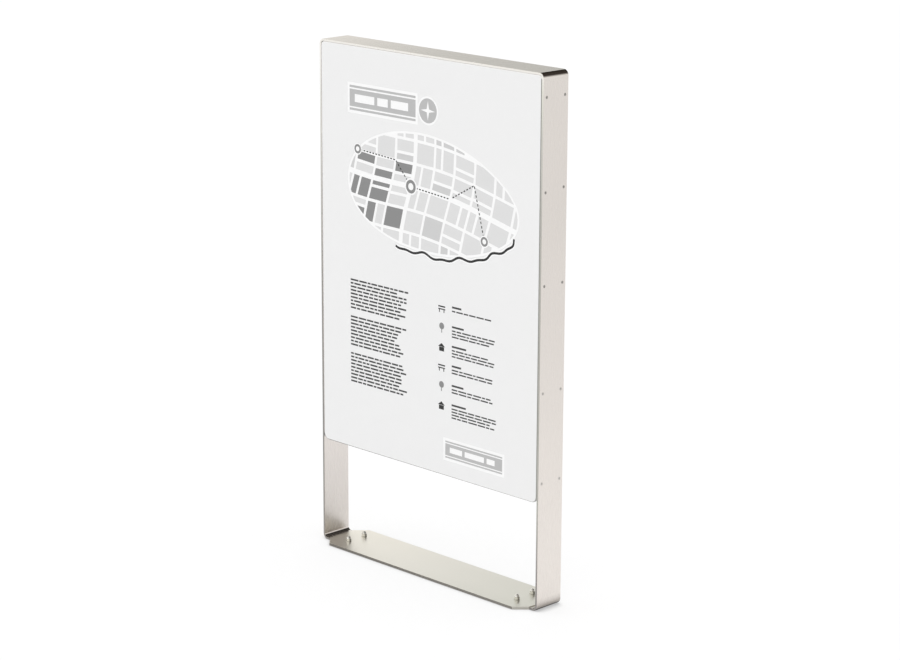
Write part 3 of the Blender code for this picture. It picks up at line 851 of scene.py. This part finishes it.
def town_point(column, row):
    """Where a crossing of the bent street grid lies on the panel."""
    across = (column / MAP_COLUMNS - 0.5) * TOWN_WIDTH
    up = (row / MAP_ROWS - 0.5) * TOWN_HEIGHT
    bent_across = across + 0.16 * up + 0.014 * math.sin(up * 13 + 0.6)
    bent_up = up - 0.13 * across + 0.016 * math.sin(across * 7 + 1.1)
    return MAP_CENTRE[0] + bent_across, MAP_CENTRE[1] + bent_up


def half_street(line, avenue):
    """Half the width of the street along one line of the grid."""
    return (AVENUE_WIDTH if line == avenue else STREET_WIDTH) / 2


def town_block(left, right, low, high):
    """One block between streets, with a street's half width kept clear all round."""
    column_size = TOWN_WIDTH / MAP_COLUMNS
    row_size = TOWN_HEIGHT / MAP_ROWS
    block_left = left + half_street(left, AVENUE_COLUMN) / column_size
    block_right = right - half_street(right, AVENUE_COLUMN) / column_size
    block_low = low + half_street(low, AVENUE_ROW) / row_size
    block_high = high - half_street(high, AVENUE_ROW) / row_size
    return [
        town_point(block_left, block_low),
        town_point(block_right, block_low),
        town_point(block_right, block_high),
        town_point(block_left, block_high),
    ]


def cell_cuts(column, row, chance):
    """One cell of the grid, left whole or cut in two."""
    if chance.random() < SPLIT_ACROSS_CHANCE:
        middle = column + LEAST_SPLIT + SPLIT_REACH * chance.random()
        return [(column, middle, row, row + 1), (middle, column + 1, row, row + 1)]
    if chance.random() < SPLIT_UP_CHANCE:
        middle = row + LEAST_SPLIT + SPLIT_REACH * chance.random()
        return [(column, column + 1, row, middle), (column, column + 1, middle, row + 1)]
    return [(column, column + 1, row, row + 1)]


def town_blocks():
    """The blocks of the map, sorted into plain blocks, parks and groups of buildings."""
    chance = random.Random(MAP_SEED)
    rim = map_outline()
    kinds = {"plain": [], "park": [], "building": []}
    for column in range(MAP_COLUMNS):
        for row in range(MAP_ROWS):
            in_centre = column in CENTRE_CELLS and row in CENTRE_CELLS
            for cut in cell_cuts(column, row, chance):
                block = clipped(town_block(*cut), rim)
                if not block or polygon_area(block) < LEAST_BLOCK_AREA:
                    continue
                drawn = chance.random()
                if in_centre and drawn < BUILDING_CHANCE:
                    kinds["building"].append(block)
                elif drawn < PARK_CHANCE:
                    kinds["park"].append(block)
                else:
                    kinds["plain"].append(block)
    return kinds


def dashes(points, length, gap):
    """Short stretches along a line, with gaps between them."""
    pieces, walked = [], 0.0
    for (x0, z0), (x1, z1) in zip(points, points[1:]):
        size = math.hypot(x1 - x0, z1 - z0)
        while walked < size:
            first = walked / size
            last = min(1.0, (walked + length) / size)
            pieces.append(
                [
                    (x0 + (x1 - x0) * first, z0 + (z1 - z0) * first),
                    (x0 + (x1 - x0) * last, z0 + (z1 - z0) * last),
                ]
            )
            walked += length + gap
        walked -= size
    return pieces


def shore_line():
    """A wavy line beside the lower right of the map's rim."""
    points = []
    for step in range(SHORE_STEPS + 1):
        share = step / SHORE_STEPS
        wave = 0.006 * math.sin(share * 23) + 0.004 * math.sin(share * 47 + 1)
        angle = SHORE_START + (SHORE_END - SHORE_START) * share
        points.append(rim_point(angle, SHORE_DISTANCE + wave))
    return points


def make_map(tones):
    film("map_ground", [map_outline(MAP_MARGIN)], 0, tones["halo"])
    kinds = town_blocks()
    film("map_blocks", kinds["plain"], 1, tones["block"])
    film("map_parks", kinds["park"], 1, tones["park"])
    film("map_buildings", kinds["building"], 1, tones["building"])

    shore = shore_line()
    film("map_shore_halo", [ribbon(shore, SHORE_HALO_WIDTH)], 2, tones["halo"])
    film("map_shore", [ribbon(shore, SHORE_WIDTH)], 3, tones["ink"])

    trail = [town_point(column, row) for column, row in TRAIL_CROSSINGS]
    strokes = [
        ribbon([start, end], TRAIL_WIDTH)
        for start, end in dashes(trail, DASH_LENGTH, DASH_GAP)
        if math.dist(start, end) > LEAST_DASH
    ]
    film("map_trail", strokes, 4, tones["ink"])

    for name, place, size in (
        ("first", trail[0], STOP_SIZE),
        ("second", trail[-1], STOP_SIZE),
        ("third", trail[2], MIDDLE_STOP_SIZE),
    ):
        film(f"map_{name}_stop_halo", [disc(*place, size)], 5, tones["halo"])
        film(f"map_{name}_stop", [disc(*place, size * STOP_RING)], 6, tones["building"])
        film(f"map_{name}_stop_eye", [disc(*place, size * STOP_EYE)], 7, tones["halo"])


def words(left, low, width, height, chance):
    """One line of text as bars the length of words."""
    bars, reach = [], left
    while True:
        length = chance.uniform(*WORD_LENGTHS)
        if reach + length > left + width:
            break
        bars.append(bar(reach, low, length, height))
        reach += length + WORD_GAP
    return bars


def make_paragraphs(tones, chance):
    bars = []
    for block in range(PARAGRAPHS):
        for line in range(PARAGRAPH_LINES):
            low = PARAGRAPH_TOP - block * PARAGRAPH_STEP - line * LINE_STEP
            width = chance.uniform(*PARAGRAPH_WIDTHS)
            bars += words(PRINT_LEFT, low, width, LINE_HEIGHT, chance)
    film("paragraph_bars", bars, 0, tones["text"])


def tree_icon(across, up):
    return [disc(across, up + 0.006, 0.012, 16), bar(across - 0.002, up - 0.018, 0.004, 0.012)]


def compass_icon(across, up):
    """A star with four points."""
    star = []
    for step in range(8):
        radius = COMPASS_NOTCH if step % 2 else COMPASS_TIP
        angle = step * math.tau / 8
        star.append((across + radius * math.cos(angle), up + radius * math.sin(angle)))
    return [star]


def bench_icon(across, up):
    return [
        bar(across - 0.017, up + 0.003, 0.034, 0.005),
        bar(across - 0.017, up - 0.006, 0.034, 0.004),
        bar(across - 0.013, up - 0.016, 0.004, 0.010),
        bar(across + 0.009, up - 0.016, 0.004, 0.010),
    ]


def house_icon(across, up):
    return [
        bar(across - 0.012, up - 0.014, 0.024, 0.015),
        [(across - 0.017, up + 0.002), (across + 0.017, up + 0.002), (across, up + 0.015)],
    ]


def make_legend(tones, chance):
    """Entries with an icon, a title and one to four lines of text."""
    dark, pale, bars = [], [], []
    icons = (bench_icon, tree_icon, house_icon)
    for entry in range(LEGEND_ENTRIES):
        kind = entry % 3
        up = LEGEND_TOP - entry * LEGEND_STEP
        target = pale if kind == 1 else dark
        target += icons[kind](LEGEND_ICON_PLACE, up)
        title_low = up + LEGEND_TITLE_RISE
        title_width = LEGEND_TITLE_WIDTH + LEGEND_TITLE_GROWTH * kind
        bars.append(bar(LEGEND_TEXT_LEFT, title_low, title_width, LEGEND_TITLE_HEIGHT))
        for line in range(1 + kind + entry % 2):
            low = up - LEGEND_LINES_DROP - line * LEGEND_LINE_STEP
            bars += words(LEGEND_TEXT_LEFT, low, LEGEND_TEXT_WIDTH, LEGEND_LINE_HEIGHT, chance)
    film("legend_dark_icons", dark, 0, tones["ink"])
    film("legend_grey_icons", pale, 0, tones["building"])
    film("legend_bars", bars, 0, tones["text"])


def make_band(name, place, title_bars, tones):
    """A grey title band between two rules, with plain pale bars where a title would be."""
    left, low, width, height = place
    rule = height * BAND_RULE
    halo = bar(left - BAND_HALO, low - BAND_HALO, width + 2 * BAND_HALO, height + 2 * BAND_HALO)
    film(f"{name}_halo", [halo], 0, tones["halo"])
    inner = [
        bar(left, low, width, rule),
        bar(left, low + height - rule, width, rule),
        bar(left, low + rule * BAND_FIELD_LOW, width, height - rule * 2 * BAND_FIELD_LOW),
    ]
    film(f"{name}_band", inner, 1, tones["band"])
    pale, reach = [], left + width * BAND_BAR_LEFT
    for share in title_bars:
        bar_low = low + height * BAND_BAR_LOW
        pale.append(bar(reach, bar_low, width * share, height * BAND_BAR_HEIGHT))
        reach += width * (share + BAND_BAR_GAP)
    film(f"{name}_title_bars", pale, 2, tones["halo"])


def make_print():
    tones = {
        "halo": film_material("print_white", TONE_HALO),
        "block": film_material("print_pale_grey", TONE_BLOCK),
        "park": film_material("print_light_grey", TONE_PARK),
        "band": film_material("print_mid_grey", TONE_BAND),
        "building": film_material("print_dark_grey", TONE_BUILDING),
        "text": film_material("print_text_grey", TONE_TEXT),
        "ink": film_material("print_black", TONE_INK),
    }
    chance = random.Random(TEXT_SEED)
    make_map(tones)
    make_paragraphs(tones, chance)
    make_legend(tones, chance)
    make_band("header", HEADER_BAND, HEADER_BARS, tones)
    film("header_disc_halo", [disc(*HEADER_DISC, HEADER_HALO_RADIUS)], 0, tones["halo"])
    film("header_disc", [disc(*HEADER_DISC, HEADER_DISC_RADIUS)], 1, tones["band"])
    film("header_disc_compass", compass_icon(*HEADER_DISC), 2, tones["halo"])
    make_band("footer", FOOTER_BAND, FOOTER_BARS, tones)


def make_camera():
    data = bpy.data.cameras.new("camera")
    data.lens = CAMERA_LENS
    data.sensor_width = SENSOR_WIDTH
    data.sensor_fit = "HORIZONTAL"
    data.clip_end = CAMERA_REACH
    camera = bpy.data.objects.new("camera", data)
    back = Vector(
        (
            math.sin(CAMERA_AZIMUTH) * math.cos(CAMERA_ELEVATION),
            -math.cos(CAMERA_AZIMUTH) * math.cos(CAMERA_ELEVATION),
            math.sin(CAMERA_ELEVATION),
        )
    )
    right = (-back).cross(Vector((0, 0, 1))).normalized()
    up = back.cross(right)
    turned_right = right * math.cos(CAMERA_ROLL) + up * math.sin(CAMERA_ROLL)
    turned_up = up * math.cos(CAMERA_ROLL) - right * math.sin(CAMERA_ROLL)
    camera.matrix_world = Matrix.Translation(CAMERA_PLACE) @ Matrix(
        (turned_right, turned_up, back)
    ).transposed().to_4x4()
    bpy.context.scene.collection.objects.link(camera)
    bpy.context.scene.camera = camera


def floor_material():
    """Pale and matt, with a glow that makes it white to the camera but for the shadows on it."""
    material = bpy.data.materials.new("floor")
    tree = Shading(material)
    shader = tree.nodes["Principled BSDF"]
    shader.inputs["Roughness"].default_value = FLOOR_ROUGHNESS
    shader.inputs["Specular IOR Level"].default_value = 0.0
    path = tree.add("ShaderNodeLightPath")
    seen = tree.calculate("MULTIPLY", path.outputs["Is Camera Ray"], GLOW_FOR_CAMERA)
    mirrored = tree.calculate(
        "MAXIMUM", path.outputs["Is Glossy Ray"], path.outputs["Is Transmission Ray"]
    )
    share = tree.calculate(
        "ADD", seen, tree.calculate("MULTIPLY", mirrored, GLOW_FOR_MIRRORS)
    )

    distance = tree.add("ShaderNodeVectorMath")
    distance.operation = "LENGTH"
    tree.link(tree.add("ShaderNodeNewGeometry").outputs["Position"], distance.inputs[0])
    far = tree.ranged(distance.outputs["Value"], NEAR_AND_FAR)
    dim = tree.ramp(tree.calculate("MULTIPLY", far, mirrored), FLOOR_TONES)
    tree.link(dim, shader.inputs["Base Color"])

    openness = tree.add("ShaderNodeAmbientOcclusion")
    openness.samples = CONTACT_SAMPLES
    openness.inputs["Distance"].default_value = CONTACT_REACH
    glow = tree.add("ShaderNodeEmission")
    tree.link(
        tree.ranged(openness.outputs["AO"], CONTACT_SPAN, CONTACT_GLOW), glow.inputs["Strength"]
    )

    mix = tree.add("ShaderNodeMixShader")
    tree.link(share, mix.inputs["Fac"])
    tree.link(shader.outputs["BSDF"], mix.inputs[1])
    tree.link(glow.outputs["Emission"], mix.inputs[2])
    tree.link(mix.outputs["Shader"], tree.nodes["Material Output"].inputs["Surface"])
    return material


def make_floor():
    """A pale floor that keeps the object's shadow and that the camera sees as white."""
    mesh = bpy.data.meshes.new("floor")
    shape = bmesh.new()
    bmesh.ops.create_grid(shape, x_segments=1, y_segments=1, size=FLOOR_HALF_SIZE)
    bmesh.ops.translate(shape, verts=shape.verts, vec=(0, 0, FLOOR_HEIGHT))
    shape.to_mesh(mesh)
    shape.free()
    mesh.materials.append(floor_material())
    floor = bpy.data.objects.new("floor", mesh)
    bpy.context.scene.collection.objects.link(floor)


def make_world():
    """White to the camera, even light on the object, and a studio for metal to mirror."""
    world = bpy.data.worlds.new("studio")
    bpy.context.scene.world = world
    tree = Shading(world)
    even = tree.nodes["Background"]
    even.inputs["Color"].default_value = (1.0, 1.0, 1.0, 1.0)
    even.inputs["Strength"].default_value = EVEN_LIGHT

    direction = tree.axes(tree.add("ShaderNodeTexCoord").outputs["Generated"])
    across, up = direction["X"], direction["Z"]
    back_left = tree.mixed(
        tree.ranged(across, TO_FAR_LEFT),
        tree.ramp(up, BACK_LEFT_SIDE),
        tree.ramp(up, FAR_LEFT_SIDE),
    )
    back = tree.mixed(tree.ranged(across, TO_RIGHT), back_left, tree.ramp(up, BACK_RIGHT_SIDE))
    studio = tree.mixed(
        tree.ranged(direction["Y"], TO_FRONT), back, tree.ramp(up, FRONT_SIDE)
    )
    mirrored = tree.add("ShaderNodeBackground")
    mirrored.inputs["Strength"].default_value = MIRRORED_LIGHT
    tree.link(studio, mirrored.inputs["Color"])

    plain = tree.add("ShaderNodeBackground")
    plain.inputs["Color"].default_value = (1.0, 1.0, 1.0, 1.0)
    path = tree.add("ShaderNodeLightPath")
    glossy = tree.add("ShaderNodeMixShader")
    camera = tree.add("ShaderNodeMixShader")
    tree.link(path.outputs["Is Glossy Ray"], glossy.inputs["Fac"])
    tree.link(even.outputs["Background"], glossy.inputs[1])
    tree.link(mirrored.outputs["Background"], glossy.inputs[2])
    tree.link(path.outputs["Is Camera Ray"], camera.inputs["Fac"])
    tree.link(glossy.outputs["Shader"], camera.inputs[1])
    tree.link(plain.outputs["Background"], camera.inputs[2])
    tree.link(camera.outputs["Shader"], tree.nodes["World Output"].inputs["Surface"])


dress_nodes()
make_print()
make_camera()
make_floor()
make_world()
bpy.context.scene.view_settings.view_transform = "Standard"
